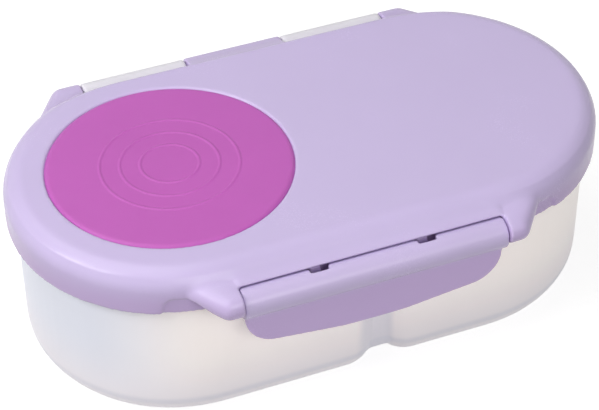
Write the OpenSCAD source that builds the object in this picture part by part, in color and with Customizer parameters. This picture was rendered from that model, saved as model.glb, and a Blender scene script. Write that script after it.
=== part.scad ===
// Toddler snack container: a two-cup tray, a hinged lid with a stretchy
// silicone fruit window, and a front clip. Millimetres, +Z up.
// Origin: centre of the footprint, on the face that the tray stands on.
// +X runs along the box with the fruit window at -X; the clip faces -Y.

/* [Overall] */
// Length of the lid, end to end
lid_len = 200; // [190:1:215]
// Width of the lid across its straight sides
lid_w = 108.6; // [104:0.2:114]
// Height of the closed box
box_h = 65.2; // [62:0.2:72]

/* [Lid] */
// Wall of the lid
lid_wall = 2.0; // [1.8:0.1:2.4]
// Radius of the lid's top edge
lid_edge_r = 7; // [5.5:0.5:7.5]
// Depth of the lid's skirt, from its top face
skirt_h = 15.2; // [13.5:0.1:16]
// Thickness of the deck above the seal, under the lid's ceiling
deck_h = 2.0; // [1.5:0.1:2.4]
// Width of the ribs on both sides of the seal
seal_rib = 1.1; // [0.9:0.1:1.3]
// How far the skirt is set in behind the clip
clip_recess = 2.0; // [1.7:0.1:2.2]
// Height of the crease below the top where the front lip starts
lip_drop = 5.0; // [4.4:0.1:5.6]

/* [Tray] */
// Gap between the tray's rim and the lid's skirt
rim_gap = 1.7; // [1.5:0.1:2]
// Wall of the tray
tray_wall = 1.8; // [1.5:0.1:2.2]
// Draft of each tray wall, from rim to floor
tray_draft = 1.6; // [1:0.1:2]
// Radius round the tray's bottom edge
tray_foot_r = 10.5; // [8:0.5:10.5]
// Height of the straight rim band
rim_band = 6.5; // [5:0.5:8]
// Distance of the cup wall from the middle of the box
cup_wall_x = 7.5; // [0:0.5:15]
// Plan radius where the fruit cup turns into the cup wall
fruit_cup_r = 13; // [12.5:0.5:16]
// Plan radius where the long cup turns into the cup wall
long_cup_r = 12.2; // [12:0.2:16]
// Depth of the groove between the cups, at the rim
groove_d = 4; // [3:0.5:5]
// Height of the arch under the cup wall
arch_z = 6; // [6:0.5:9]

/* [Divider] */
// Distance of the loose divider from the middle of the box
divider_x = 42; // [32:1:44]
// Thickness of the loose divider
divider_t = 1.6; // [1.2:0.1:2]
// Depth of the guide ribs that hold the divider
guide_d = 1.6; // [1.2:0.1:2]
// Width of each guide rib
guide_w = 1.4; // [1:0.1:2]

/* [Fruit window] */
// Radius of the silicone window
window_r = 40.2; // [36:0.2:41]
// Distance of the window from the middle of the box
window_x = 46.3; // [44:0.1:48]
// Height of the window's rim above the lid
window_proud = 0.5; // [0.3:0.1:0.8]
// Width of the window's seat in the lid
window_seat = 3.8; // [3:0.1:5]
// Depth of the window's seat
seat_d = 1.3; // [1:0.1:1.6]
// Thickness of the silicone skin
skin_t = 1.2; // [0.8:0.1:1.4]
// Radius of the crown, the part of the skin that lifts whole
crown_r = 14; // [10:1:20]
// Thickness of the window's collar
collar_t = 2.8; // [2.4:0.1:3.4]
// Wall of the ring that holds the collar
retainer_t = 2.0; // [1.6:0.1:2.6]

/* [Seal] */
// Width of the seal
seal_w = 3.0; // [2.6:0.1:3.2]
// Thickness of the seal
seal_h = 3.0; // [2.6:0.1:3.2]

/* [Clip] */
// Length of the clip's barrel
clip_len = 88; // [80:1:89]
// Radius of the clip's barrel
clip_r = 5.2; // [4.8:0.1:5.3]
// Radius of the lid's front rod
front_rod_r = 2.4; // [2:0.1:2.6]
// Distance of the front rod outside the lid's side
front_rod_out = 3.7; // [3.5:0.1:4.3]
// Depth of the front rod below the lid's top
front_rod_down = 11.5; // [11:0.1:12.2]
// Thickness of the clip's flap
flap_t = 2.2; // [1.8:0.1:2.6]
// Distance from the rod down to the middle of the flap's bottom edge
flap_drop = 19.7; // [18:0.1:22]
// Rise of the flap's bottom edge from its middle to its corners
flap_bow = 2.6; // [1:0.1:4]
// Radius of the flap's bottom corners
flap_corner_r = 11; // [8:0.5:12]
// Radius of the corners of the barrel's upper edge
barrel_corner_r = 2; // [1:0.1:2.4]
// Distance of the lid's rod webs from the middle of the clip
web_x = 18; // [14:0.5:24]
// Width of each rod web
web_w = 3.8; // [3:0.1:5]
// Depth of the tray's catch bead below the front rod
catch_down = 12.2; // [10.7:0.5:13.7]
// Depth of the catch bead on the tray
catch_d = 2.6; // [2:0.1:3]

/* [Hinge] */
// Length of the hinge, between the lid's rear ears
hinge_len = 110; // [100:1:112]
// Offset of the hinge along the box
hinge_x = -3.6; // [-4:0.1:0]
// Length of the lid's middle knuckle
knuckle_len = 35; // [28:1:42]
// Radius of the hinge's barrels
hinge_r = 4.6; // [4.5:0.05:4.9]
// Radius of the lid's rear rod
rear_rod_r = 2.2; // [1.8:0.1:2.4]
// Distance of the rear rod outside the lid's side
rear_rod_out = 2.7; // [2.6:0.1:3.3]
// Depth of the rear rod below the lid's top
rear_rod_down = 10.1; // [9.8:0.1:10.4]
// Mouth of the tray's hooks, narrower than the rod
hook_mouth = 3.6; // [3:0.1:3.8]

/* [Ears] */
// Length of each front ear, to its rounded end
front_ear_len = 3.8; // [3:0.1:6]
// Distance over which a front ear runs out into the skirt
front_ear_run = 13; // [12:0.5:17]
// Length of each rear ear, to its rounded end
rear_ear_len = 6.6; // [4:0.1:8]
// Distance over which a rear ear runs out into the skirt
rear_ear_run = 20.5; // [17:0.5:22]
// Wall of the ears
ear_wall = 1.6; // [1.3:0.1:2]
// Height of the arched recess under the front ears, from the skirt's edge
arch_rise = 6.3; // [5:0.1:6.5]
// Depth of the arched recess in the skirt
arch_d = 0.9; // [0.6:0.1:1]

/* [Clearances] */
// Running clearance of a rod in its bore, on the radius
rod_clear = 0.05; // [0.02:0.01:0.1]
// Gap at the ends of the clip and of the hinge's barrels
end_gap = 0.3; // [0.2:0.05:0.5]
// Gap between the closed lid's seal and the tray's rim
seal_gap = 0.2; // [0.1:0.05:0.4]
// Gap round the divider
divider_gap = 0.4; // [0.2:0.05:0.6]
// Gap between seated parts of the fruit window
seat_gap = 0.05; // [0.03:0.01:0.1]
// Gap between the seal and the lid's thin walls
wall_air = 0.1; // [0.05:0.05:0.15]
// Gap round the clip's barrel and at its catch
clip_gap = 0.35; // [0.25:0.05:0.4]

/* [Hidden] */
$fn = 96;
hull_fn = 32;
eps = 0.01;

tray_color = [0.88, 0.86, 0.86, 0.75];
lid_color = [0.78, 0.72, 0.87];
clip_color = [0.76, 0.70, 0.85];
silicone_color = [0.75, 0.41, 0.73];
seal_color = [0.80, 0.76, 0.88];

// Lid
lid_r = lid_w / 2;
arc_x = lid_len / 2 - lid_r;
skirt_z = box_h - skirt_h;
ceiling_z = box_h - lid_wall;
deck_z = ceiling_z - deck_h;

// Tray
rim_r = lid_r - lid_wall - rim_gap;
rim_z = deck_z - seal_h - seal_gap;
seal_r = rim_r - tray_wall / 2 + seal_w / 2;

// Clip and front of the lid
lip_wall_y = lid_r - clip_recess;
front_rod_y = lid_r + front_rod_out;
front_rod_z = box_h - front_rod_down;
lip_tip_y = front_rod_y - 1;
lip_z = box_h - lip_drop;
cradle_r = clip_r + clip_gap;
clip_bay = clip_len / 2 + end_gap;
flap_y = front_rod_y + 2.3;
flap_half = clip_len / 2 - 0.8;
notch_w = web_w + 2.4;
notch_end = 96;
mouth_top = 58;
mouth_low = -48;
web_top = 30;
web_low = -25;
catch_z = front_rod_z - catch_down;
catch_tip_y = rim_r + catch_d;
catch_half = clip_len / 2 - 8;
hook_h = 3.2;
hook_gap = 1.0;

// Hinge and rear of the lid
rear_rod_y = lid_r + rear_rod_out;
rear_rod_z = box_h - rear_rod_down;
hinge_half = hinge_len / 2;
back_edge_y = lid_r - 6.9;
back_wall_y = rim_r + rim_gap + 0.3;
back_wall_z = rim_z + 0.4;
back_slope = 0.8;
back_arc_x = arc_x + 2.3;
back_arc_r = 58;

// Ears: the front lugs sit a little above and outside the front rod
lug_y = front_rod_y + 1.8;
lug_z = front_rod_z + 1.7;
lug_r = clip_r - 0.95;
right_ear_x = hinge_half + end_gap + hinge_x;
left_ear_x = hinge_half + end_gap - hinge_x;
run_r = 4;
run_in = run_r + 0.15;
front_lift = 1.8;
rear_lift = 0;
ear_skin = 0.3;
hollow_reach = 4;

// Arched recess: its run from the foot to the bend, the peak and the far end
arch_foot = 3;
arch_bend = 6;
arch_peak = 12;
arch_fall = 15.5;
arch_end = 16.5;

// Fruit window
hole_r = window_r - window_seat;
seat_z = box_h - seat_d;
window_top = box_h + window_proud;
bead_d = 2;
bead_h = 1.8;
seat_floor = 2.1;
seat_under = seat_z - seat_floor;

// A stadium: the box's plan shape at half-width r, with arc centres at +-cx
module stadium(r, cx = arc_x) {
    union() {
        translate([-cx, 0]) circle(r);
        translate([cx, 0]) circle(r);
        translate([-cx, -r]) square([2 * cx, 2 * r]);
    }
}

module stadium_ring(r_out, r_in, z0, z1) {
    translate([0, 0, z0]) linear_extrude(z1 - z0) difference() {
        stadium(r_out);
        stadium(r_in);
    }
}

// Solid whose edge profile, drawn to the right of x = 0, follows the stadium.
// The profile is 2D with its straight-side half-width built in.
module stadium_sweep() {
    for (side = [0, 1]) mirror([side, 0, 0])
        translate([arc_x, 0, 0]) rotate([0, 0, -90]) rotate_extrude(angle = 180) children();
    for (side = [0, 1]) mirror([0, side, 0])
        translate([-arc_x, 0, 0]) rotate([90, 0, 90]) linear_extrude(2 * arc_x) children();
}

// Extrude a YZ drawing along X, from x0 to x1
module along_x(x0, x1) {
    translate([x0, 0, 0]) rotate([90, 0, 90]) linear_extrude(x1 - x0) children();
}

// A block with one rounded top edge: half of the lid's cross-section
module edge_profile(r, z0, z1, edge) {
    union() {
        translate([0, z0]) square([r, z1 - z0 - edge]);
        translate([0, z0]) square([r - edge, z1 - z0]);
        translate([r - edge, z1 - edge]) circle(edge);
    }
}

// ---- Tray ----

// Wall and foot of a cup as a section out to the tray's rim, with its axis
// shift away from the middle; inset is 0 outside and the wall inside
module cup_profile(inset, top, shift = 0) {
    lean = atan(tray_draft / rim_z);
    foot = tray_foot_r - inset;
    foot_x = rim_r - tray_draft * (1 - tray_foot_r / rim_z) - tray_foot_r / cos(lean);
    top_x = rim_r - tray_draft * (1 - top / rim_z) - inset / cos(lean);
    intersection() {
        translate([-shift, 0]) union() {
            polygon([[0, inset], [foot_x, inset],
                     [foot_x + foot * cos(lean), tray_foot_r - foot * sin(lean)],
                     [top_x, top], [0, top]]);
            translate([foot_x, tray_foot_r]) circle(foot);
        }
        square([rim_r + tray_wall, top]);
    }
}

// A cup: half a stadium towards +X, and two round corners of radius corner_r
// at the cup wall, whose outside is side away from the middle
module cup(side, corner_r, inset, top) {
    corner_x = side + corner_r;
    corner_y = rim_r - corner_r;
    translate([arc_x, 0, 0]) rotate(-90) rotate_extrude(angle = 180) cup_profile(inset, top);
    for (back = [0, 1]) mirror([0, back, 0]) {
        along_x(corner_x, arc_x) cup_profile(inset, top);
        translate([corner_x, corner_y, 0]) rotate(90) rotate_extrude(angle = 90)
            cup_profile(inset, top, corner_y);
    }
    translate([corner_x, -corner_y, 0]) rotate([90, 0, 180]) linear_extrude(2 * corner_y)
        cup_profile(inset, top, corner_y);
}

module fruit_cup(inset, top) mirror([1, 0, 0])
    cup(-cup_wall_x - tray_wall / 2, fruit_cup_r, inset, top);

module long_cup(inset, top) cup(cup_wall_x - tray_wall / 2, long_cup_r, inset, top);

// Solid between the cups: it leaves a shallow groove at the front and back,
// and an arch underneath
module cup_bridge() {
    face_y = rim_r - groove_d;
    half = 5;
    for (back = [0, 1]) mirror([0, back, 0])
        along_x(cup_wall_x - half, cup_wall_x + half)
            polygon([[-1, arch_z], [face_y - tray_draft, arch_z], [face_y, rim_z], [-1, rim_z]]);
}

module divider_guides() {
    pitch = divider_t / 2 + divider_gap + guide_w / 2;
    inner_y = rim_r - tray_wall - tray_draft - guide_d;
    for (side = [-1, 1], back = [0, 1]) mirror([0, back, 0])
        translate([divider_x + side * pitch - guide_w / 2, inner_y, 0])
            cube([guide_w, rim_r - inner_y, rim_z - rim_band]);
}

// Two beads on the front wall that the clip snaps under
module catch_beads() {
    root_y = rim_r - tray_wall;
    for (span = [[-catch_half, cup_wall_x - fruit_cup_r],
                 [cup_wall_x + long_cup_r + 2, catch_half]])
        mirror([0, 1, 0]) along_x(span[0], span[1])
            polygon([[root_y, catch_z - 1.4], [catch_tip_y, catch_z - 0.8],
                     [catch_tip_y, catch_z + 0.8], [root_y, catch_z + 3.4]]);
}

// One hook of the hinge, drawn in the YZ plane: it wraps the lid's rear rod
module hook_section() {
    difference() {
        union() {
            translate([rear_rod_y, rear_rod_z]) circle(hinge_r);
            polygon([[rim_r - tray_wall - 2, rim_z - rim_band], [rim_r - tray_wall - 2, rim_z - 1],
                     [rear_rod_y, rim_z - 1], [rear_rod_y, rear_rod_z - hinge_r + 0.2],
                     [rear_rod_y - 3, rear_rod_z - hinge_r - 0.4]]);
        }
        translate([rear_rod_y, rear_rod_z]) circle(rear_rod_r + rod_clear);
        translate([rear_rod_y, rear_rod_z]) rotate(-50) translate([0, -hook_mouth / 2])
            square([2 * hinge_r, hook_mouth]);
    }
}

module base_tray() color(tray_color) {
    inner = knuckle_len / 2 + end_gap;
    difference() {
        union() {
            fruit_cup(0, rim_z);
            long_cup(0, rim_z);
            cup_bridge();
            translate([0, 0, rim_z - rim_band]) linear_extrude(rim_band) stadium(rim_r);
            catch_beads();
            along_x(hinge_x - hinge_half, hinge_x - inner) hook_section();
            along_x(hinge_x + inner, hinge_x + hinge_half) hook_section();
        }
        difference() {
            union() {
                fruit_cup(tray_wall, rim_z + 1);
                long_cup(tray_wall, rim_z + 1);
            }
            divider_guides();
        }
    }
}

// Loose plate that splits the long cup: it drops in between the guide ribs
module removable_divider() color(tray_color) translate([0, 0, -divider_gap])
    for (back = [0, 1]) mirror([0, back, 0])
        along_x(divider_x - divider_t / 2, divider_x + divider_t / 2)
            cup_profile(tray_wall + divider_gap, rim_z - 1);

// ---- Lid ----

// Distance from the middle plane, at x, of a line inset from the lid's side
function inset_y(x, inset) = let (r = lid_r - inset, over = max(0, abs(x) - arc_x))
    sqrt(r * r - over * over);

// An ear: a lug of radius r round (y, z), with a flat top that runs back into
// the lid. It starts at x0 and runs out towards +X, where it rises by lift; the
// YZ place is for +Y.
module ear(x0, y, z, r, len, run, lift) {
    run_x = x0 + run;
    root_z = z + r - run_r;
    hull() {
        translate([x0, y, z]) rotate([0, 90, 0]) cylinder(r = r, h = len, $fn = 48);
        translate([x0 + len, y, z]) sphere(r, $fn = hull_fn);
        translate([x0, inset_y(x0, run_in), root_z]) rotate([0, 90, 0])
            cylinder(r = run_r, h = 1, $fn = hull_fn);
        translate([run_x, inset_y(run_x, run_in), root_z + lift]) sphere(run_r, $fn = hull_fn);
    }
}

// Hollow behind an ear's skin, open at the bottom and kept out of the skirt
module ear_hollow(x0, y, z, r, len, run) {
    inner = r - ear_wall;
    tip = run_r - ear_wall;
    end_x = x0 + len;
    run_x = x0 + run;
    run_y = inset_y(run_x, run_in);
    low_z = skirt_z - hollow_reach;
    turn = atan2(run_y - y, run_x - end_x) + acos((inner - tip) / norm([run_x - end_x, run_y - y]));
    difference() {
        union() {
            along_x(x0 + ear_wall, end_x) union() {
                translate([y, z]) circle(inner);
                polygon([[run_y, low_z], [y + inner, low_z], [y + inner, z], [y, z + inner],
                         [run_y, z + inner]]);
            }
            translate([end_x, y, low_z]) cylinder(r = inner, h = z + inner / 2 - low_z);
            translate([0, 0, low_z]) linear_extrude(z + inner / 2 - low_z)
                polygon([[end_x, run_y], [end_x, y],
                         [end_x + inner * cos(turn), y + inner * sin(turn)],
                         [run_x + tip * cos(turn), run_y + tip * sin(turn)], [run_x, run_y]]);
        }
        translate([0, 0, low_z - 1]) linear_extrude(skirt_h + 8) stadium(lid_r - ear_skin);
    }
}

function bezier(p, t) = pow(1 - t, 3) * p[0] + 3 * pow(1 - t, 2) * t * p[1]
    + 3 * (1 - t) * t * t * p[2] + t * t * t * p[3];

// Arched recess under the run-out of a front ear, drawn for +X and +Y: it
// leaves the ear as a hood and sets the skirt under it back
module hood_arch() {
    x0 = clip_bay + front_ear_len + 2;
    low = skirt_z - 1;
    top = skirt_z + arch_rise;
    steps = 10;
    shoulder = top - 2;
    rise = [[x0, low], [x0 + arch_foot, shoulder], [x0 + arch_bend, top], [x0 + arch_peak, top]];
    fall = [[x0 + arch_peak, top], [x0 + arch_fall, top], [x0 + arch_end, shoulder],
            [x0 + arch_end, low]];
    difference() {
        translate([0, lid_w, 0]) rotate([90, 0, 0]) linear_extrude(lid_w)
            polygon([for (i = [0 : steps]) bezier(rise, i / steps),
                     for (i = [1 : steps]) bezier(fall, i / steps)]);
        translate([0, 0, low - 1]) linear_extrude(arch_rise + 3) stadium(lid_r - arch_d);
    }
}

// Place an ear-like shape at both ends of the clip bay
module at_front_ears() for (side = [0, 1]) mirror([side, 0, 0]) mirror([0, 1, 0]) children();
module at_left_rear_ear() mirror([1, 0, 0]) children();

module ears() {
    at_front_ears() ear(clip_bay, lug_y, lug_z, lug_r, front_ear_len, front_ear_run, front_lift);
    ear(right_ear_x, rear_rod_y, rear_rod_z, hinge_r, rear_ear_len, rear_ear_run, rear_lift);
    at_left_rear_ear()
        ear(left_ear_x, rear_rod_y, rear_rod_z, hinge_r, rear_ear_len, rear_ear_run, rear_lift);
}

module ear_hollows() {
    at_front_ears() union() {
        ear_hollow(clip_bay, lug_y, lug_z, lug_r, front_ear_len, front_ear_run);
        hood_arch();
    }
    ear_hollow(right_ear_x, rear_rod_y, rear_rod_z, hinge_r, rear_ear_len, rear_ear_run);
    at_left_rear_ear()
        ear_hollow(left_ear_x, rear_rod_y, rear_rod_z, hinge_r, rear_ear_len, rear_ear_run);
}

// Everything outside the lid's slope where the clip lies
module clip_bay_cut() mirror([0, 1, 0]) along_x(-clip_bay, clip_bay)
    translate([lip_wall_y, skirt_z - 1]) square([lid_r, skirt_h + 2]);

// Front lip over the clip and the set-back skirt behind it
module front_lip() mirror([0, 1, 0]) along_x(-clip_bay - eps, clip_bay + eps) {
    lip_round = 5.8;
    lip_lean = 10;
    wall_t = lip_wall_y - seal_r - wall_air;
    start_y = lid_r - lid_edge_r * (1 - cos(45));
    start_z = box_h - lid_edge_r * (1 - sin(45));
    swell_y = lip_tip_y + lip_round * sin(lip_lean);
    swell_z = lip_z + lip_round * cos(lip_lean);
    fall = lip_round * sin(45);
    difference() {
        union() {
            translate([lip_wall_y - wall_t, skirt_z]) square([wall_t, start_z - skirt_z]);
            polygon([[lip_wall_y - wall_t, front_rod_z + 2], [lip_wall_y - wall_t, start_z - 1],
                     [start_y - 0.05, start_z], [swell_y - fall, swell_z - fall],
                     [lip_tip_y, swell_z - fall], [lip_tip_y, front_rod_z + 2]]);
        }
        translate([front_rod_y, front_rod_z]) circle(cradle_r);
        translate([swell_y, swell_z]) circle(lip_round);
    }
}

function round_rod(a, r) = [front_rod_y - r * cos(a), front_rod_z + r * sin(a)];

// Front rod with the two webs that hold it in the middle
module front_rod() {
    half = clip_bay + ear_wall;
    mirror([0, 1, 0]) {
        translate([-half, front_rod_y, front_rod_z]) rotate([0, 90, 0])
            cylinder(r = front_rod_r, h = 2 * half);
        for (side = [-1, 1])
            along_x(side * web_x - web_w / 2, side * web_x + web_w / 2)
                polygon([[front_rod_y, front_rod_z], round_rod(web_top, cradle_r + 1.2),
                         round_rod(web_low, cradle_r + 1.2)]);
    }
}

// Everything outside the back wall, where the hinge lies
module hinge_bay_cut() along_x(hinge_x - hinge_half - end_gap, hinge_x + hinge_half + end_gap) {
    translate([back_wall_y, skirt_z - 1]) square([lid_r, skirt_h + 2]);
    translate([rim_r - 1, skirt_z - 1])
        square([lid_wall + rim_gap + 1, back_wall_z - skirt_z + 1]);
}

// Section outside the steep slope at the back of the lid, with its axis shift
// away from the middle
module back_section(shift) {
    low_z = rear_rod_z + hinge_r + 0.3;
    top_z = box_h + back_slope;
    translate([-shift, 0])
        polygon([[back_edge_y - 1, top_z], [back_edge_y + (box_h - low_z) / back_slope, low_z],
                 [lid_r + 2, low_z], [lid_r + 2, top_z]]);
}

// Everything outside that slope: it runs along the hinge and fades out in wide
// arcs behind the rear ears
module back_slope_cut() {
    centre_y = back_edge_y - back_arc_r;
    along_x(-back_arc_x, back_arc_x) back_section(0);
    for (side = [0, 1]) mirror([side, 0, 0]) translate([-back_arc_x, centre_y, 0])
        rotate([0, 0, 90]) rotate_extrude(angle = 35) back_section(centre_y);
}

// Room inside the skirt's lower edge, so that it swings past the tray's rim
module swing_relief() {
    left_x = hinge_x - hinge_half - end_gap - 2;
    right_x = hinge_x + hinge_half + end_gap + 7;
    translate([left_x, rim_r - 1, skirt_z - 1]) cube([right_x - left_x, 3.6, 2.6]);
}

// Wall that closes the lid over the hinge
module back_wall() {
    wall_t = back_wall_y - seal_r - wall_air;
    foot_z = box_h - back_slope * (back_wall_y - back_edge_y);
    along_x(hinge_x - hinge_half - end_gap, hinge_x + hinge_half + end_gap)
        polygon([[back_wall_y - wall_t, back_wall_z], [back_wall_y, back_wall_z],
                 [back_wall_y, foot_z + 1], [back_wall_y - wall_t, foot_z + 1]]);
}

// Rear rod, with the knuckle that joins it to the lid between the hooks
module rear_rod() {
    reach = hinge_half + end_gap + ear_wall;
    foot_z = box_h - back_slope * (back_wall_y - back_edge_y);
    translate([hinge_x - reach, rear_rod_y, rear_rod_z]) rotate([0, 90, 0])
        cylinder(r = rear_rod_r, h = 2 * reach);
    along_x(hinge_x - knuckle_len / 2, hinge_x + knuckle_len / 2) union() {
        translate([rear_rod_y, rear_rod_z]) circle(hinge_r + 0.1);
        polygon([[back_wall_y - 0.6, back_wall_z], [back_wall_y - 0.6, foot_z + 0.3],
                 [rear_rod_y + hinge_r * sin(30), rear_rod_z + hinge_r * cos(30)],
                 [rear_rod_y, rear_rod_z], [rear_rod_y - hinge_r * cos(20), rear_rod_z + hinge_r * sin(20)]]);
    }
}

// Deck and ribs that hold the seal under the ceiling
module seal_deck() {
    inner_r = seal_r - seal_w - seal_rib;
    rib_z = rim_z + seal_gap + seal_h / 2;
    bar = seal_w + 2 * seal_rib;
    stadium_ring(lid_r - lid_wall + 0.2, inner_r, deck_z, ceiling_z + 0.2);
    difference() {
        union() {
            stadium_ring(seal_r - seal_w - seat_gap, inner_r, rib_z, ceiling_z);
            translate([cup_wall_x - bar / 2, -inner_r - 0.5, rib_z])
                cube([bar, 2 * inner_r + 1, ceiling_z + 0.2 - rib_z]);
        }
        translate([cup_wall_x - seal_w / 2 - seat_gap, -lid_r, 0])
            cube([seal_w + 2 * seat_gap, lid_w, deck_z]);
    }
}

module lid_shell() color(lid_color) {
    difference() {
        union() {
            difference() {
                union() {
                    stadium_sweep() edge_profile(lid_r, skirt_z, box_h, lid_edge_r);
                    ears();
                }
                stadium_sweep() edge_profile(lid_r - lid_wall, skirt_z - eps, ceiling_z,
                                             lid_edge_r - lid_wall);
                ear_hollows();
                hinge_bay_cut();
            }
            seal_deck();
            back_wall();
            translate([-window_x, 0, seat_under]) cylinder(r = window_r + 3, h = seat_floor);
        }
        clip_bay_cut();
        back_slope_cut();
        swing_relief();
        translate([-window_x, 0, seat_z]) cylinder(r = window_r + seat_gap, h = lid_wall);
        translate([-window_x, 0, skirt_z]) cylinder(r = hole_r, h = skirt_h);
        translate([-window_x, 0, seat_under - bead_h])
            cylinder(r = hole_r + bead_d + seat_gap, h = bead_h);
    }
    front_lip();
    front_rod();
    rear_rod();
}

// ---- Fruit window ----

// Silicone skin: a rim on the lid's seat, a collar through the hole and a
// bead under it
module window_skin() color(silicone_color) translate([-window_x, 0, 0]) {
    collar_r = hole_r - seat_gap;
    bead_top = seat_under - seat_gap;
    difference() {
        union() {
            translate([0, 0, seat_z + seat_gap])
                cylinder(r = window_r, h = window_top - seat_z - seat_gap);
            translate([0, 0, bead_top - bead_h]) cylinder(r = collar_r, h = seat_z - bead_top + bead_h + 1);
            translate([0, 0, bead_top - bead_h]) cylinder(r = collar_r + bead_d, h = bead_h);
        }
        translate([0, 0, bead_top - bead_h - 1])
            cylinder(r = collar_r - collar_t, h = window_top - skin_t - bead_top + bead_h + 1);
        cylinder(r = crown_r + seat_gap, h = box_h + 2);
    }
}

// Crown of the skin: fruit under the window pushes it up
module window_crown() color(silicone_color)
    translate([-window_x, 0, window_top - skin_t]) cylinder(r = crown_r, h = skin_t);

// Ring pressed inside the collar, with a flange under its bead
module window_retainer() color(lid_color) translate([-window_x, 0, 0]) {
    outer_r = hole_r - collar_t - 2 * seat_gap;
    bead_low = seat_under - seat_gap - bead_h - seat_gap;
    flange_t = 1.2;
    difference() {
        union() {
            translate([0, 0, bead_low]) cylinder(r = outer_r, h = seat_z - bead_low);
            translate([0, 0, bead_low - flange_t]) cylinder(r = hole_r + bead_d, h = flange_t);
        }
        translate([0, 0, bead_low - flange_t - 1]) cylinder(r = outer_r - retainer_t, h = lid_wall + skirt_h);
    }
}

// ---- Seal ----

// Silicone seal: a stadium ring with a bar over the cup wall, and a groove
// underneath that leaves two lips on the rim
module lid_seal() color(seal_color) {
    lip = 0.9;
    under_d = 1.0;
    low_z = rim_z + seal_gap;
    inner_r = seal_r - seal_w;
    difference() {
        union() {
            stadium_ring(seal_r, inner_r, low_z, deck_z);
            translate([cup_wall_x - seal_w / 2, -inner_r - 0.5, low_z])
                cube([seal_w, 2 * inner_r + 1, seal_h]);
        }
        stadium_ring(seal_r - lip, inner_r + lip, low_z - 1, low_z + under_d);
        translate([cup_wall_x - seal_w / 2 + lip, -inner_r - lip, low_z - 1])
            cube([seal_w - 2 * lip, 2 * (inner_r + lip), under_d + 1]);
    }
}

// ---- Clip ----

// Outline of the clip from the front: barrel above, bowed flap below
module clip_outline() {
    low = front_rod_z - flap_drop;
    corner_x = flap_half - flap_corner_r;
    bow_r = (corner_x * corner_x + flap_bow * flap_bow) / (2 * flap_bow);
    bow_z = low + bow_r;
    corner_z = bow_z - sqrt(pow(bow_r - flap_corner_r, 2) - corner_x * corner_x);
    lean = atan(corner_x / (bow_z - corner_z));
    union() {
        translate([-clip_len / 2, front_rod_z - clip_r]) square([clip_len, 2 * clip_r]);
        for (side = [-1, 1]) translate([side * corner_x, corner_z]) circle(flap_corner_r);
        polygon([[-flap_half, front_rod_z], [-flap_half, corner_z], [-corner_x, corner_z],
                 [corner_x, corner_z], [flap_half, corner_z], [flap_half, front_rod_z]]);
        intersection() {
            translate([0, bow_z]) circle(bow_r, $fn = 360);
            polygon([[-corner_x, corner_z + 1], [-corner_x, corner_z],
                     [-corner_x - flap_corner_r * sin(lean), corner_z - flap_corner_r * cos(lean) - 0.01],
                     [0, low - 1],
                     [corner_x + flap_corner_r * sin(lean), corner_z - flap_corner_r * cos(lean) - 0.01],
                     [corner_x, corner_z], [corner_x, corner_z + 1]]);
        }
    }
}

// Section of the clip: an open barrel, the flap and its hook
module clip_section() {
    hook_z = catch_z - 0.8 - hook_gap;
    hook_y = catch_tip_y + clip_gap / 2;
    far = 3 * clip_r;
    difference() {
        union() {
            translate([front_rod_y, front_rod_z]) circle(clip_r);
            translate([flap_y - flap_t, front_rod_z - flap_drop]) square([flap_t, flap_drop]);
            polygon([[flap_y - flap_t / 2, hook_z + 0.6], [hook_y, hook_z],
                     [hook_y, hook_z - 1.2], [flap_y - flap_t / 2, hook_z - hook_h]]);
        }
        translate([front_rod_y, front_rod_z]) circle(front_rod_r + rod_clear);
        polygon([[front_rod_y, front_rod_z], round_rod(mouth_low, far), round_rod(0, far),
                 round_rod(mouth_top, far)]);
    }
}

// Cutter that rounds one corner of the barrel's upper edge, at x; the barrel
// lies on the -X side of it
module barrel_corner(x) {
    edge_y = front_rod_y - clip_r * cos(mouth_top);
    r = barrel_corner_r;
    translate([x, edge_y, front_rod_z + 1]) linear_extrude(clip_r) difference() {
        translate([-r, -r]) square([2 * r, 2 * r]);
        translate([-r, r]) circle(r);
        translate([-2 * r, 0]) square([r, 2 * r]);
    }
}

module front_clip() color(clip_color) mirror([0, 1, 0]) difference() {
    intersection() {
        along_x(-clip_len / 2, clip_len / 2) clip_section();
        translate([0, front_rod_y + 2 * clip_r, 0]) rotate([90, 0, 0])
            linear_extrude(4 * clip_r) clip_outline();
    }
    for (side = [-1, 1])
        along_x(side * web_x - notch_w / 2, side * web_x + notch_w / 2)
            polygon([[front_rod_y, front_rod_z], round_rod(mouth_top - 5, 3 * clip_r),
                     round_rod(notch_end, 3 * clip_r)]);
    for (side = [0, 1]) mirror([side, 0, 0]) {
        barrel_corner(clip_len / 2);
        barrel_corner(web_x - notch_w / 2);
        mirror([1, 0, 0]) barrel_corner(-web_x - notch_w / 2);
    }
}

base_tray();
removable_divider();
lid_shell();
window_skin();
window_crown();
window_retainer();
lid_seal();
front_clip();
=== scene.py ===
import math

import bpy
import numpy as np
from mathutils import Matrix, Vector


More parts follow.
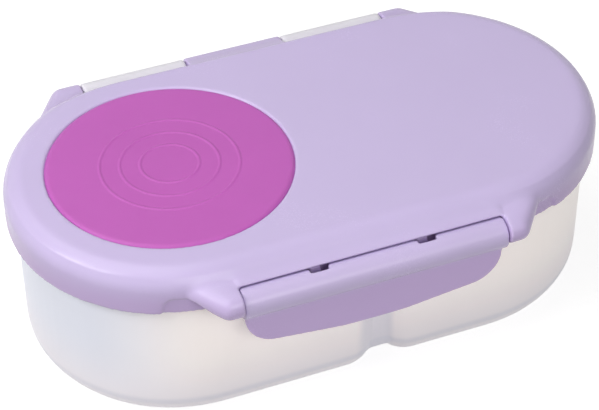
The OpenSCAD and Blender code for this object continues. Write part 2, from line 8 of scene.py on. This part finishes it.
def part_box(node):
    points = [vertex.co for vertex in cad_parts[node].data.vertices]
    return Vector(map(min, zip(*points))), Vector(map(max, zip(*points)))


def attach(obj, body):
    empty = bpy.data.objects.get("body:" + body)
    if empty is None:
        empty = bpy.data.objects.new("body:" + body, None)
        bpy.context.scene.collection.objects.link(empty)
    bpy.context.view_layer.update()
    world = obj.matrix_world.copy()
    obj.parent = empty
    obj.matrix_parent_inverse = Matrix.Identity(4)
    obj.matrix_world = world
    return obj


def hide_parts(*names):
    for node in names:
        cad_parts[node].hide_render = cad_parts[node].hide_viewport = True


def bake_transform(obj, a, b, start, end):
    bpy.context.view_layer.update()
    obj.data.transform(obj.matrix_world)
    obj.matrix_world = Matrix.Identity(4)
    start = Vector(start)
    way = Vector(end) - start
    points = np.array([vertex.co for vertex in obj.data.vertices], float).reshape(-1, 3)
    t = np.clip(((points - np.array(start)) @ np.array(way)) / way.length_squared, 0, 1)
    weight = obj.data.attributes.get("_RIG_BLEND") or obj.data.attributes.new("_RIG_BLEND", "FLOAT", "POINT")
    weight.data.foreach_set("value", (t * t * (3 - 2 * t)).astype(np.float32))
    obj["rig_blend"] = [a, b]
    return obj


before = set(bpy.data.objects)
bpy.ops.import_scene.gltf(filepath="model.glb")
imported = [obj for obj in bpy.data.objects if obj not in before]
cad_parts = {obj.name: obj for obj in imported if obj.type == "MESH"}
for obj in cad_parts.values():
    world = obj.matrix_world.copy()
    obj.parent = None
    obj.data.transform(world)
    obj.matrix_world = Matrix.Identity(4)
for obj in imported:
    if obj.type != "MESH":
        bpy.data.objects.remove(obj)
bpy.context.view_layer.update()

MM = 0.001

# Colours as they look, from 0 to 255
LILAC = (204, 189, 227)
LILAC_CLIP = (203, 188, 225)
# The clip's flap in painted shade: deeper and more saturated than the lit barrel
LILAC_SHADED_FLAP = (205, 180, 226)
# The lid's lower edge and skirt in painted shade: darker and more saturated than the top
LILAC_SHADED_SKIRT = (194, 171, 214)
ORCHID = (191, 96, 183)
FROST = (246, 238, 234)
# The tray's left end, painted cooler and greyer as shade
FROST_SHADED_END = (212, 214, 224)
# The tray's lower wall, painted darker as shade
FROST_SHADED_LOW = (221, 216, 221)
FROST_TOP = (234, 231, 238)
# Grey of the painted shade bands on the tray; its faint clouds also lean slightly to this grey
FROST_SHADE_GREY = (206, 204, 213)
SEAL = (214, 207, 232)

# Levels of light
FLOOR_WHITE = (0.45, 0.45, 0.45, 1.0)
FLOOR_GLOW = 0.75
# Strength of the tray's painted glow, which stands in for light shining through its walls
FROST_PAINTED_GLOW = 0.22
SKY = 0.14

# Roughness of the satin plastic, the frosted plastic and the silicone
SATIN = 0.26
FROSTED = 0.42
POWDERY = 0.5

# Where grey bands of painted shade go on the tray: heights at the cups' floors, and places along
# # the box where the groove between the cups runs; each fades in over the first span and out over the second
LOW_SHADE_BAND = ((0.0064, 0.0084), (0.0088, 0.0110))
GROOVE_SHADE_BAND = ((-0.0030, 0.0015), (0.0100, 0.0125))

# Heights over which the tray's wall goes up under the lid's skirt
UNDER_SKIRT = (0.044, 0.054)

# The window, taken from its nodes
window_low, window_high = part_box("window_skin")
WINDOW_X = (window_low.x + window_high.x) / 2
WINDOW_R = (window_high.x - window_low.x) / 2
WINDOW_TOP = window_high.z

# Half the straight run of the box's sides, the same for lid and tray
STRAIGHT = 0.0457
OUTER_FACE = "outer_face"

# How far the tray's wall comes out: at the lid's skirt, more at the foot, and at the fruit end
WALL_OUT = 0.0007
WALL_OUT_LOW = 0.0007
WALL_OUT_END = 0.0005

# Heights between which the wall comes out less and less
FOOT_TOP = 0.012
WALL_TOP = 0.050

# The hinge's middle, and the front rod's distance and height
HINGE_X = -0.0036
FRONT_ROD_Y = 0.058
FRONT_ROD_Z = 0.0537


def linear(colour):
    """A colour as it looks, 0 to 255, as the linear RGBA that a socket takes."""
    parts = [part / 255 for part in colour]
    return (*(p / 12.92 if p <= 0.04045 else ((p + 0.055) / 1.055) ** 2.4 for p in parts), 1.0)


# ---- Node maths ----

class Value:
    """A socket of a node that sums and products can be written with."""

    def __init__(self, graph, socket):
        self.graph = graph
        self.socket = socket

    def math(self, operation, *others):
        values = dict(enumerate((self, *others)))
        node = self.graph.add("ShaderNodeMath", {"operation": operation}, values)
        return Value(self.graph, node.outputs[0])

    def __add__(self, other):
        return self.math("ADD", other)

    def __radd__(self, other):
        return self.math("ADD", other)

    def __sub__(self, other):
        return self.math("SUBTRACT", other)

    def __rsub__(self, other):
        return (self * -1.0).math("ADD", other)

    def __mul__(self, other):
        return self.math("MULTIPLY", other)

    def __truediv__(self, other):
        return self.math("DIVIDE", other)


class Graph:
    """A node tree that values and nodes are added to."""

    def __init__(self, tree):
        self.tree = tree
        tree.nodes.clear()

    def add(self, kind, settings=None, sockets=None):
        """A node of any kind: its settings first, then values or links for its sockets."""
        node = self.tree.nodes.new(kind)
        for name, setting in (settings or {}).items():
            if name == "stops":
                ramp = node.color_ramp
                while len(ramp.elements) < len(setting):
                    ramp.elements.new(0.5)
                for element, (position, colour) in zip(ramp.elements, setting):
                    element.position = position
                    element.color = colour
            else:
                setattr(node, name, setting)
        for name, value in (sockets or {}).items():
            socket = node.inputs[name]
            if isinstance(value, Value):
                self.tree.links.new(value.socket, socket)
            else:
                socket.default_value = value
        return node

    def read(self, kind, output, settings=None, sockets=None):
        """One output of a new node."""
        return Value(self, self.add(kind, settings, sockets).outputs[output])

    def camera_white(self):
        """1 for rays from the camera and those seen through or mirrored in the object."""
        seen = [self.read("ShaderNodeLightPath", name)
                for name in ("Is Camera Ray", "Is Glossy Ray", "Is Transmission Ray")]
        return seen[0].math("MAXIMUM", seen[1]).math("MAXIMUM", seen[2])


class Finish(Graph):
    """The shader graph of one material."""

    def __init__(self, name):
        self.material = bpy.data.materials.new(name)
        self.material.use_nodes = True
        super().__init__(self.material.node_tree)
        self.place = self.read("ShaderNodeTexCoord", "Object")

    def noise(self, scale, detail=2.0, roughness=0.5):
        """Noise from 0 to 1 with about scale blobs a metre."""
        return self.read("ShaderNodeTexNoise", "Fac", None, {
            "Vector": self.place, "Scale": scale, "Detail": detail, "Roughness": roughness})

    def axis(self, name):
        """The X, Y or Z of a point on the piece, in metres."""
        return self.read("ShaderNodeSeparateXYZ", name, None, {"Vector": self.place})

    def span(self, value, low, high):
        """0 below low and 1 above high, with a soft step between."""
        return self.read("ShaderNodeMapRange", "Result", {"interpolation_type": "SMOOTHSTEP"}, {
            "Value": value, "From Min": low, "From Max": high})

    def between(self, value, rise, fall):
        """0 outside the two spans and 1 between them."""
        return self.span(value, *rise) * (1.0 - self.span(value, *fall))

    def blend(self, factor, first, second):
        """A colour between two colours or links, the second at factor 1."""
        node = self.add("ShaderNodeMix", {"data_type": "RGBA"}, {"Factor": factor})
        for socket, colour in ((node.inputs[6], first), (node.inputs[7], second)):
            if isinstance(colour, Value):
                self.tree.links.new(colour.socket, socket)
            else:
                socket.default_value = colour
        return Value(self, node.outputs[2])

    def bump(self, height, distance):
        """A normal from a height of 0 to 1 that stands for this distance in metres."""
        return self.read("ShaderNodeBump", "Normal", None, {
            "Height": height, "Distance": distance, "Strength": 1.0})

    def surface(self, **sockets):
        """Ends the graph with a Principled BSDF; its sockets are named with _ for spaces."""
        named = {name.replace("_", " "): value for name, value in sockets.items()}
        shader = self.read("ShaderNodeBsdfPrincipled", "BSDF", None, named)
        self.close(shader)
        return self.material

    def close(self, shader):
        """Ends the graph with this shader as the surface."""
        self.add("ShaderNodeOutputMaterial", None, {"Surface": shader})


def shifted(colour, factor):
    """The linear colour made lighter or darker by a factor."""
    return (*(min(1.0, part * factor) for part in linear(colour)[:3]), 1.0)


def moulded_plastic(name, colour, shaded_low_colour, turn):
    """Opaque satin plastic: a fine spark-eroded grain, faint flow clouds, and a painted shade
    colour, darker and more saturated, below the height where it turns."""
    f = Finish(name)
    clouds = f.noise(28.0, 3.0)
    grain = f.noise(2600.0, 2.0)
    cloudy = f.blend(clouds, shifted(colour, 0.97), shifted(colour, 1.03))
    # Painted shade: below the turn height the colour becomes the darker, more saturated shaded colour
    tint = f.blend(f.span(f.axis("Z"), *turn), linear(shaded_low_colour), cloudy)
    return f.surface(
        Base_Color=tint,
        Roughness=SATIN + (clouds - 0.5) * 0.06 + (grain - 0.5) * 0.05,
        Specular_IOR_Level=0.32,
        Subsurface_Weight=0.12,
        Subsurface_Radius=(1.0, 0.8, 1.0),
        Subsurface_Scale=0.0015,
        Normal=f.bump(grain, 0.00002),
    )


def frosted_plastic(name):
    """Frosted see-through plastic with painted light and shade: its outer faces below the lid's
    skirt glow as painted light for light shining through, its left end and lower wall are
    painted cooler and darker as shade, and grey bands of painted shade lie at the height of
    the cups' floors and over the groove between the cups."""
    f = Finish(name)
    height = f.axis("Z")
    along = f.axis("X")
    outer = f.read("ShaderNodeAttribute", "Fac", {"attribute_name": OUTER_FACE})
    clouds = f.noise(22.0, 3.0)
    grain = f.noise(2200.0, 2.0)
    below_skirt = 1.0 - f.span(height, *UNDER_SKIRT)
    # Painted shade: grey bands at the cups' floors' height and over the groove between the cups, on outer
    # faces
    low_shade_band = f.between(height, *LOW_SHADE_BAND)
    groove_shade_band = f.between(along, *GROOVE_SHADE_BAND) * below_skirt
    painted_bands = (low_shade_band * 0.7 + groove_shade_band * 0.75).math("MINIMUM", 1.0) * outer
    # Painted shade: the left end is cooler and greyer
    end_shade = f.blend(f.span(along, -0.088, -0.052), linear(FROST_SHADED_END), linear(FROST))
    # Painted shade: darker towards the bottom
    wall = f.blend(f.span(height, 0.002, 0.034), linear(FROST_SHADED_LOW), end_shade)
    wall = f.blend(f.span(height, 0.050, 0.056), wall, linear(FROST_TOP))
    wall = f.blend(painted_bands, wall, linear(FROST_SHADE_GREY))
    return f.surface(
        Base_Color=f.blend(clouds * 0.05, wall, linear(FROST_SHADE_GREY)),
        Roughness=FROSTED + (clouds - 0.5) * 0.08,
        Subsurface_Weight=0.5,
        Subsurface_Radius=(1.0, 1.0, 1.0),
        Subsurface_Scale=0.001,
        # Painted light: outer faces below the lid's skirt glow in the wall's colour
        Emission_Color=f.blend(outer * below_skirt, (0, 0, 0, 1), wall),
        Emission_Strength=FROST_PAINTED_GLOW,
        Normal=f.bump(grain, 0.00002),
    )


def silicone(name, colour):
    """Dull silicone rubber with a powdery grain."""
    f = Finish(name)
    clouds = f.noise(45.0, 3.0)
    grain = f.noise(3200.0, 3.0, 0.6)
    tint = f.blend(clouds, shifted(colour, 0.96), shifted(colour, 1.04))
    return f.surface(
        Base_Color=tint,
        Roughness=POWDERY + (grain - 0.5) * 0.12,
        Specular_IOR_Level=0.35,
        Subsurface_Weight=0.2,
        Subsurface_Radius=(1.0, 0.5, 0.9),
        Subsurface_Scale=0.001,
        Normal=f.bump(grain, 0.00003),
    )


# Painted shade: below the given heights the lid's skirt and the clip's flap take darker, more saturated
# colours
lilac_plastic = moulded_plastic("lilac_satin_plastic", LILAC, LILAC_SHADED_SKIRT, (0.052, 0.062))
clip_plastic = moulded_plastic("lilac_clip_plastic", LILAC_CLIP, LILAC_SHADED_FLAP, (0.046, 0.052))
frost = frosted_plastic("frosted_tray_plastic")
orchid_silicone = silicone("orchid_silicone", ORCHID)
seal_silicone = silicone("seal_silicone", SEAL)


def dress(piece, material):
    """Gives a piece this one material."""
    piece.data.materials.clear()
    piece.data.materials.append(material)


# ---- Softened mouldings ----

# Points nearer than this are one, in metres
WELD_GAP = 0.000004

# More rounds of filling give wider fillets
FRONT_EAR_ROUNDS = 120
REAR_EAR_ROUNDS = 30
FILL_STEP = 0.7
NORMAL_ROUNDS = 4

def ramp(values, low, high):
    """0 below low and 1 above high, with a soft step between."""
    t = np.clip((values - low) / (high - low), 0, 1)
    return t * t * (3 - 2 * t)


def away_from_middle(points):
    """Distance of each point from the line between the middles of the box's round ends,
    and the level direction away from it."""
    out = points[:, :2].copy()
    out[:, 0] -= np.clip(out[:, 0], -STRAIGHT, STRAIGHT)
    distance = np.linalg.norm(out, axis=1)
    return distance, out / distance[:, None].clip(1e-6)


def shrunk(points, edges, rounds, weight):
    """Points after plain averaging, which rounds edges more."""
    count = len(points)
    first, second = edges[:, 0], edges[:, 1]
    degree = np.bincount(edges.ravel(), minlength=count).clip(1)[:, None]
    for _ in range(rounds):
        total = np.zeros_like(points)
        for axis in range(3):
            total[:, axis] = (np.bincount(first, points[second, axis], count)
                              + np.bincount(second, points[first, axis], count))
        points = points + (total / degree - points) * 0.5 * weight[:, None]
    return points


def evaluated(piece):
    """The piece's mesh with its modifiers applied and removed."""
    mesh = bpy.data.meshes.new_from_object(
        piece.evaluated_get(bpy.context.evaluated_depsgraph_get()))
    piece.modifiers.clear()
    piece.data = mesh
    return mesh


def moulding(name, node, body, material, voxel, rounds, faces, reshape=None, sharp=None):
    """A copy of a CAD node with its edges rounded as a moulding's are: it replaces the node.
    It is rebuilt in voxels of this size, averaged in rounds and thinned to about faces
    triangles; sharp says which points aren't averaged, and reshape moves the points."""
    piece = bpy.data.objects.new(name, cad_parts[node].data.copy())
    bpy.context.scene.collection.objects.link(piece)
    weld = piece.modifiers.new("weld", "WELD")
    weld.merge_threshold = WELD_GAP
    remesh = piece.modifiers.new("remesh", "REMESH")
    remesh.mode = "VOXEL"
    remesh.voxel_size = voxel
    remesh.adaptivity = 0.0
    mesh = evaluated(piece)

    count = len(mesh.vertices)
    points = np.empty(count * 3)
    mesh.vertices.foreach_get("co", points)
    points = points.reshape(-1, 3)
    edges = np.empty(len(mesh.edges) * 2, dtype=np.int64)
    mesh.edges.foreach_get("vertices", edges)
    edges = edges.reshape(-1, 2)
    points = shrunk(points, edges, rounds, 1 - sharp(points) if sharp else np.ones(count))
    if reshape:
        normals = np.empty(count * 3)
        mesh.vertex_normals.foreach_get("vector", normals)
        points = reshape(points, edges, normals.reshape(-1, 3))
    mesh.vertices.foreach_set("co", points.ravel())
    mesh.update()

    thin = piece.modifiers.new("thin", "DECIMATE")
    thin.ratio = min(1.0, faces / (2 * len(mesh.polygons)))
    mesh = evaluated(piece)
    mesh.shade_smooth()
    dress(piece, material)
    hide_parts(node)
    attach(piece, body)
    return piece


def in_clip_cradle(points):
    """1 inside the cradle where the clip turns and round the ends of its rod, so that the
    clip keeps its clearance."""
    x, y, z = np.abs(points[:, 0]), points[:, 1], points[:, 2]
    in_front = 1 - ramp(y, -0.0515, -0.0510)
    under_lip = 1 - ramp(z, 0.0578, 0.0584)
    cradle = (1 - ramp(x, 0.0436, 0.0440)) * in_front * under_lip
    from_rod = np.hypot(y + FRONT_ROD_Y, z - FRONT_ROD_Z)
    rod_end = (1 - ramp(x, 0.0450, 0.0456)) * (1 - ramp(from_rod, 0.0032, 0.0038))
    return np.maximum(cradle, rod_end)


def near_front_ears(points):
    """1 round the lid's two front ears, outside the clip's bay, and 0 away from them."""
    x, y, z = np.abs(points[:, 0]), points[:, 1], points[:, 2]
    beside = ramp(x, 0.0446, 0.0452) * ramp(z, 0.0560, 0.0590)
    above = ramp(x, 0.0395, 0.0450) * ramp(z, 0.0598, 0.0608)
    short_of_end = 1 - ramp(x, 0.060, 0.068)
    in_front = 1 - ramp(y, -0.048, -0.044)
    return np.maximum(beside, above) * short_of_end * in_front


def near_rear_ears(points):
    """1 round the lid's rear ears and 0 away from them."""
    x, y, z = np.abs(points[:, 0] - HINGE_X), points[:, 1], points[:, 2]
    along = ramp(x, 0.0545, 0.0555) * (1 - ramp(x, 0.072, 0.080))
    behind, raised = ramp(y, 0.044, 0.048), ramp(z, 0.0540, 0.0570)
    return along * behind * raised


def filled(points, edges, normals, rounds, weight):
    """Points whose hollow corners are filled to fillets; raised forms keep their shape."""
    near = weight > 0
    edges = edges[near[edges].any(axis=1)]
    held = np.unique(np.concatenate((edges.ravel(), np.flatnonzero(near))))
    place = np.full(len(points), -1)
    place[held] = np.arange(len(held))
    first, second = place[edges[:, 0]], place[edges[:, 1]]
    count = len(held)
    degree = np.bincount(np.concatenate((first, second)), minlength=count).clip(1)[:, None]

    def mean(values):
        total = np.empty_like(values)
        for axis in range(3):
            total[:, axis] = (np.bincount(first, values[second, axis], count)
                              + np.bincount(second, values[first, axis], count))
        return total / degree

    local, outward = points[held], normals[held]
    for _ in range(NORMAL_ROUNDS):
        outward = outward + mean(outward)
        outward = outward / np.linalg.norm(outward, axis=1)[:, None].clip(1e-9)
    for _ in range(rounds):
        rise = ((mean(local) - local) * outward).sum(axis=1).clip(0)
        local = local + outward * (rise * weight[held])[:, None] * FILL_STEP
    points = points.copy()
    points[held] = local
    return points


def filled_ears(points, edges, normals):
    """Wide fillets where the front ears run into the lid, and small ones at the rear ears."""
    points = filled(points, edges, normals, FRONT_EAR_ROUNDS, near_front_ears(points))
    return filled(points, edges, normals, REAR_EAR_ROUNDS, near_rear_ears(points))


def upright_walls(points, edges, normals):
    """Brings the tray's outer faces out under the lid's skirt, so that its walls stand
    upright; the catch bead and all that is above the skirt's edge stay."""
    x, y, z = points.T
    distance, out = away_from_middle(points)
    facing = (out * normals[:, :2]).sum(axis=1)
    outer = np.maximum(ramp(facing, 0.05, 0.30), ramp(-normals[:, 2], 0.3, 0.7))
    near_wall = ramp(distance, 0.030, 0.041)
    below_skirt = 1 - ramp(z, 0.0485, 0.0500)
    bead = ramp(z, 0.030, 0.037) * (1 - ramp(np.abs(x), 0.037, 0.043)) * (y < 0)
    lower = 1 - np.clip((z - FOOT_TOP) / (WALL_TOP - FOOT_TOP), 0, 1)
    fruit_end = 1 - ramp(x, -0.075, -0.045)
    out_by = WALL_OUT + (WALL_OUT_LOW + WALL_OUT_END * fruit_end) * lower
    push = out_by * outer * near_wall * below_skirt * (1 - bead)
    points = points.copy()
    points[:, :2] += out * push[:, None]
    return points


moulding("lid", "lid_shell", "lid", lilac_plastic,
         voxel=0.0005, rounds=3, faces=190000, reshape=filled_ears, sharp=in_clip_cradle)
tray = moulding("tray", "base_tray", "tray", frost,
                voxel=0.0008, rounds=4, faces=150000, reshape=upright_walls)
moulding("clip", "front_clip", "clip", clip_plastic,
         voxel=0.0004, rounds=3, faces=90000)


def mark_outer_faces(piece):
    """Stores 1 where the piece's wall faces away from the box's inside, and 0 elsewhere."""
    mesh = piece.data
    count = len(mesh.vertices)
    points, normals = np.empty(count * 3), np.empty(count * 3)
    mesh.vertices.foreach_get("co", points)
    mesh.vertex_normals.foreach_get("vector", normals)
    points, normals = points.reshape(-1, 3), normals.reshape(-1, 3)
    facing = (away_from_middle(points)[1] * normals[:, :2]).sum(axis=1)
    under = ramp(-normals[:, 2], 0.2, 0.7) * (points[:, 2] < 0.020)
    outer = np.maximum(ramp(facing, 0.0, 0.35), under)
    mark = mesh.attributes.new(OUTER_FACE, "FLOAT", "POINT")
    mark.data.foreach_set("value", outer.astype(np.float32))


mark_outer_faces(tray)


# ---- Silicone window ----

# Thickness of the skin, rise of the dome and height of the ribs, in millimetres
SKIN = 1.2
DOME = 0.13
RIB = 0.22

# Radii between which the skin stretches: it stays with the lid outside, and rides the crown inside
STILL_RADIUS = 33.0 * MM
FULL_RADIUS = 13.0 * MM


def window_outline():
    """Radius and height of the window's section, from the middle of the top round to the
    middle of the underside: a low dome with a rounded rim, a collar and a bead."""
    top, radius = WINDOW_TOP / MM - RIB, WINDOW_R / MM
    collar_out, collar_in, seat = 36.35, 33.55, 63.95
    bead_out, bead_top, bead_low = 38.35, 61.75, 59.95
    rim, rim_drop, chamfer, nick = 1.7, 1.35, 0.4, 0.05
    steps, rim_steps, under_steps = 190, 12, 40
    outline = []
    for step in range(steps):
        r = (radius - rim) * step / steps
        outline.append((r, top - DOME * (r / radius) ** 2))
    edge_z = top - DOME * ((radius - rim) / radius) ** 2
    for step in range(rim_steps + 1):
        turn = math.radians(90 - 90 * step / rim_steps)
        outline.append((radius - rim + rim * math.cos(turn),
                        edge_z - rim_drop + rim_drop * math.sin(turn)))
    under, inner_chamfer = top - SKIN - DOME, 0.5
    outline += [(radius, seat + nick), (radius - nick, seat), (collar_out, seat),
                (collar_out, bead_top), (bead_out - chamfer, bead_top),
                (bead_out, bead_top - chamfer), (bead_out, bead_low + chamfer),
                (bead_out - chamfer, bead_low), (collar_in, bead_low),
                (collar_in, under - inner_chamfer), (collar_in - inner_chamfer, under)]
    for step in range(under_steps):
        r = (collar_in - inner_chamfer) * (1 - (step + 1) / under_steps)
        outline.append((r, top - SKIN - DOME * (r / radius) ** 2))
    return [(r * MM, z * MM) for r, z in outline]


def lathe(name, outline, turns=160):
    """A closed solid of revolution about the window's axis."""
    rings = [i for i, (r, z) in enumerate(outline) if r > 1e-7]
    points, faces = [], []
    for i in rings:
        r, z = outline[i]
        for k in range(turns):
            turn = 2 * math.pi * k / turns
            points.append((WINDOW_X + r * math.cos(turn), r * math.sin(turn), z))
    for a in range(len(rings) - 1):
        for k in range(turns):
            n = (k + 1) % turns
            faces.append((a * turns + k, (a + 1) * turns + k, (a + 1) * turns + n, a * turns + n))
    poles = [(0, outline[0][1]), (len(rings) - 1, outline[-1][1])]
    for ring, z in poles:
        points.append((WINDOW_X, 0.0, z))
        centre = len(points) - 1
        for k in range(turns):
            n = (k + 1) % turns
            corner = (ring * turns + k, ring * turns + n)
            faces.append((centre, *corner) if ring == 0 else (centre, *corner[::-1]))
    mesh = bpy.data.meshes.new(name)
    mesh.from_pydata(points, [], faces)
    mesh.shade_smooth()
    piece = bpy.data.objects.new(name, mesh)
    bpy.context.scene.collection.objects.link(piece)
    return piece


class Rule(Graph):
    """A Geometry Nodes tree with named inputs for sizes."""

    def __init__(self, name):
        tree = bpy.data.node_groups.new(name, "GeometryNodeTree")
        super().__init__(tree)
        tree.interface.new_socket("Geometry", in_out="INPUT", socket_type="NodeSocketGeometry")
        tree.interface.new_socket("Geometry", in_out="OUTPUT", socket_type="NodeSocketGeometry")
        self.inputs = {}
        self.entry = self.add("NodeGroupInput")

    def size(self, name, value):
        """A new named input, with its value for the modifier."""
        kind = "NodeSocketMaterial" if isinstance(value, bpy.types.Material) else "NodeSocketFloat"
        socket = self.tree.interface.new_socket(name, in_out="INPUT", socket_type=kind)
        self.inputs[socket.identifier] = value
        return Value(self, self.entry.outputs[name])

    def finish(self, shape, material):
        """Ends the tree in Realize Instances and Set Material."""
        real = self.read("GeometryNodeRealizeInstances", "Geometry", None, {"Geometry": shape})
        dressed = self.read("GeometryNodeSetMaterial", "Geometry", None, {
            "Geometry": real, "Material": material})
        self.add("NodeGroupOutput", None, {"Geometry": dressed})

    def apply(self, piece):
        """Runs the tree on the piece and leaves the piece with the mesh that it makes."""
        modifier = piece.modifiers.new(self.tree.name, "NODES")
        modifier.node_group = self.tree
        for identifier, value in self.inputs.items():
            modifier[identifier] = value
        return evaluated(piece)


def stretch_ribs():
    """Raises low round ribs on the window's top, evenly spaced from the first one out."""
    rule = Rule("stretch_ribs")
    middle = rule.size("Window Middle", WINDOW_X)
    top = rule.size("Lowest Ribbed Height", WINDOW_TOP - 1.0 * MM)
    first = rule.size("First Rib Radius", 9.5 * MM)
    pitch = rule.size("Rib Spacing", 6.5 * MM)
    last = rule.size("Last Rib", 2.0)
    half = rule.size("Half Rib Width", 0.75 * MM)
    rise = rule.size("Rib Height", RIB * MM)
    material = rule.size("Silicone", orchid_silicone)

    place = rule.read("GeometryNodeInputPosition", "Position")
    x, y, z = (rule.read("ShaderNodeSeparateXYZ", name, None, {"Vector": place}) for name in "XYZ")
    out = x - middle
    radius = (out * out + y * y).math("SQRT")
    rib = ((radius - first) / pitch).math("ROUND").math("MAXIMUM", 0.0).math("MINIMUM", last)
    away = (radius - first - rib * pitch).math("ABSOLUTE") / half
    swell = (away.math("MINIMUM", 1.0) * math.pi).math("COSINE") * 0.5 + 0.5
    lift = rule.read("ShaderNodeCombineXYZ", "Vector", None, {
        "Z": swell * rise * z.math("GREATER_THAN", top)})
    shape = rule.read("GeometryNodeSetPosition", "Geometry", None, {
        "Geometry": Value(rule, rule.entry.outputs["Geometry"]), "Offset": lift})
    rule.finish(shape, material)
    return rule


def stretch_from_middle(piece, still, full):
    """Shares the crown's rise over the skin by radius, so the top and underside stretch alike."""
    mesh = piece.data
    points = np.empty(len(mesh.vertices) * 3)
    mesh.vertices.foreach_get("co", points)
    points = points.reshape(-1, 3)
    radius = np.hypot(points[:, 0] - WINDOW_X, points[:, 1])
    share = 1 - ramp(radius, full, still)
    mesh.attributes["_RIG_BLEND"].data.foreach_set("value", share.astype(np.float32))


window = lathe("window", window_outline())
stretch_ribs().apply(window)
window.data.shade_smooth()
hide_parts("window_skin", "window_crown")
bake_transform(window, "lid", "crown", (WINDOW_X, 0, WINDOW_TOP - DOME * MM), (WINDOW_X, 0, WINDOW_TOP))
stretch_from_middle(window, STILL_RADIUS, FULL_RADIUS)

for node, material in (("window_retainer", lilac_plastic), ("lid_seal", seal_silicone),
                       ("removable_divider", frost)):
    dress(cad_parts[node], material)


# ---- Stage ----

# The camera at the photograph's place: azimuth, elevation and roll in degrees, place in metres
CAMERA_ANGLES = (-21.07, 40.52, -0.79)
CAMERA_PLACE = (-0.1928, -0.4950, 0.4870)
CAMERA_LENS = 125.2

FLOOR_HALF = 4.0
FLOOR_DROP = 0.0001

# Each lamp's name, place, target, width, height and power
BOX_MIDDLE = (0, 0, 0.03)
LAMPS = (
    ("left_softbox", (-0.92, 0.05, 0.80), BOX_MIDDLE, 0.3, 0.4, 4.6),
    ("edge_strip", (-0.82, -0.29, 0.84), BOX_MIDDLE, 0.12, 0.5, 2.1),
    ("overhead", (-0.3, 0.15, 1.0), (0, 0, 0.05), 0.9, 0.7, 3.9),
    ("front_softbox", (0.0, -1.0, 0.68), BOX_MIDDLE, 0.8, 0.5, 5.6),
)


def make_camera():
    """The camera that the render is seen from."""
    azimuth, elevation, roll = (math.radians(angle) for angle in CAMERA_ANGLES)
    back = Vector((math.sin(azimuth) * math.cos(elevation),
                   -math.cos(azimuth) * math.cos(elevation), math.sin(elevation)))
    right = Vector((math.cos(azimuth), math.sin(azimuth), 0))
    up = back.cross(right)
    x_axis = math.cos(roll) * right + math.sin(roll) * up
    y_axis = math.cos(roll) * up - math.sin(roll) * right
    camera = bpy.data.objects.new("camera", bpy.data.cameras.new("camera"))
    bpy.context.scene.collection.objects.link(camera)
    camera.data.lens = CAMERA_LENS
    camera.data.sensor_width = 36.0
    turn = Matrix((x_axis, y_axis, back)).transposed().to_4x4()
    camera.matrix_world = Matrix.Translation(CAMERA_PLACE) @ turn
    bpy.context.scene.camera = camera


def make_floor():
    """A white floor just under the box, which keeps the box's shadow."""
    mesh = bpy.data.meshes.new("floor")
    half, low = FLOOR_HALF, -FLOOR_DROP
    corners = [(-half, -half, low), (half, -half, low), (half, half, low), (-half, half, low)]
    mesh.from_pydata(corners, [], [(0, 1, 2, 3)])
    floor = bpy.data.objects.new("floor", mesh)
    bpy.context.scene.collection.objects.link(floor)
    f = Finish("white_floor")
    matte = f.read("ShaderNodeBsdfDiffuse", "BSDF", None, {"Color": FLOOR_WHITE})
    glow = f.read("ShaderNodeEmission", "Emission", None, {
        "Color": (1, 1, 1, 1), "Strength": f.camera_white() * FLOOR_GLOW})
    f.close(f.read("ShaderNodeAddShader", "Shader", None, {0: matte, 1: glow}))
    floor.data.materials.append(f.material)


def make_world(level):
    """White where the camera sees it, and this level of light on the box."""
    world = bpy.data.worlds.new("world")
    bpy.context.scene.world = world
    world.use_nodes = True
    f = Graph(world.node_tree)
    white = f.camera_white()
    sky = f.read("ShaderNodeBackground", "Background", None, {
        "Color": (1, 1, 1, 1), "Strength": level + white * (1.0 - level)})
    f.add("ShaderNodeOutputWorld", None, {"Surface": sky})


def add_light(name, place, target, width, height, power):
    """A soft rectangular lamp at place, facing target."""
    lamp = bpy.data.lights.new(name, "AREA")
    lamp.shape = "RECTANGLE"
    lamp.size = width
    lamp.size_y = height
    lamp.energy = power
    holder = bpy.data.objects.new(name, lamp)
    bpy.context.scene.collection.objects.link(holder)
    holder.location = place
    holder.rotation_euler = (Vector(target) - Vector(place)).to_track_quat("-Z", "Y").to_euler()


make_camera()
make_floor()
make_world(SKY)
for lamp in LAMPS:
    add_light(*lamp)

bpy.context.scene.view_settings.view_transform = "Standard"
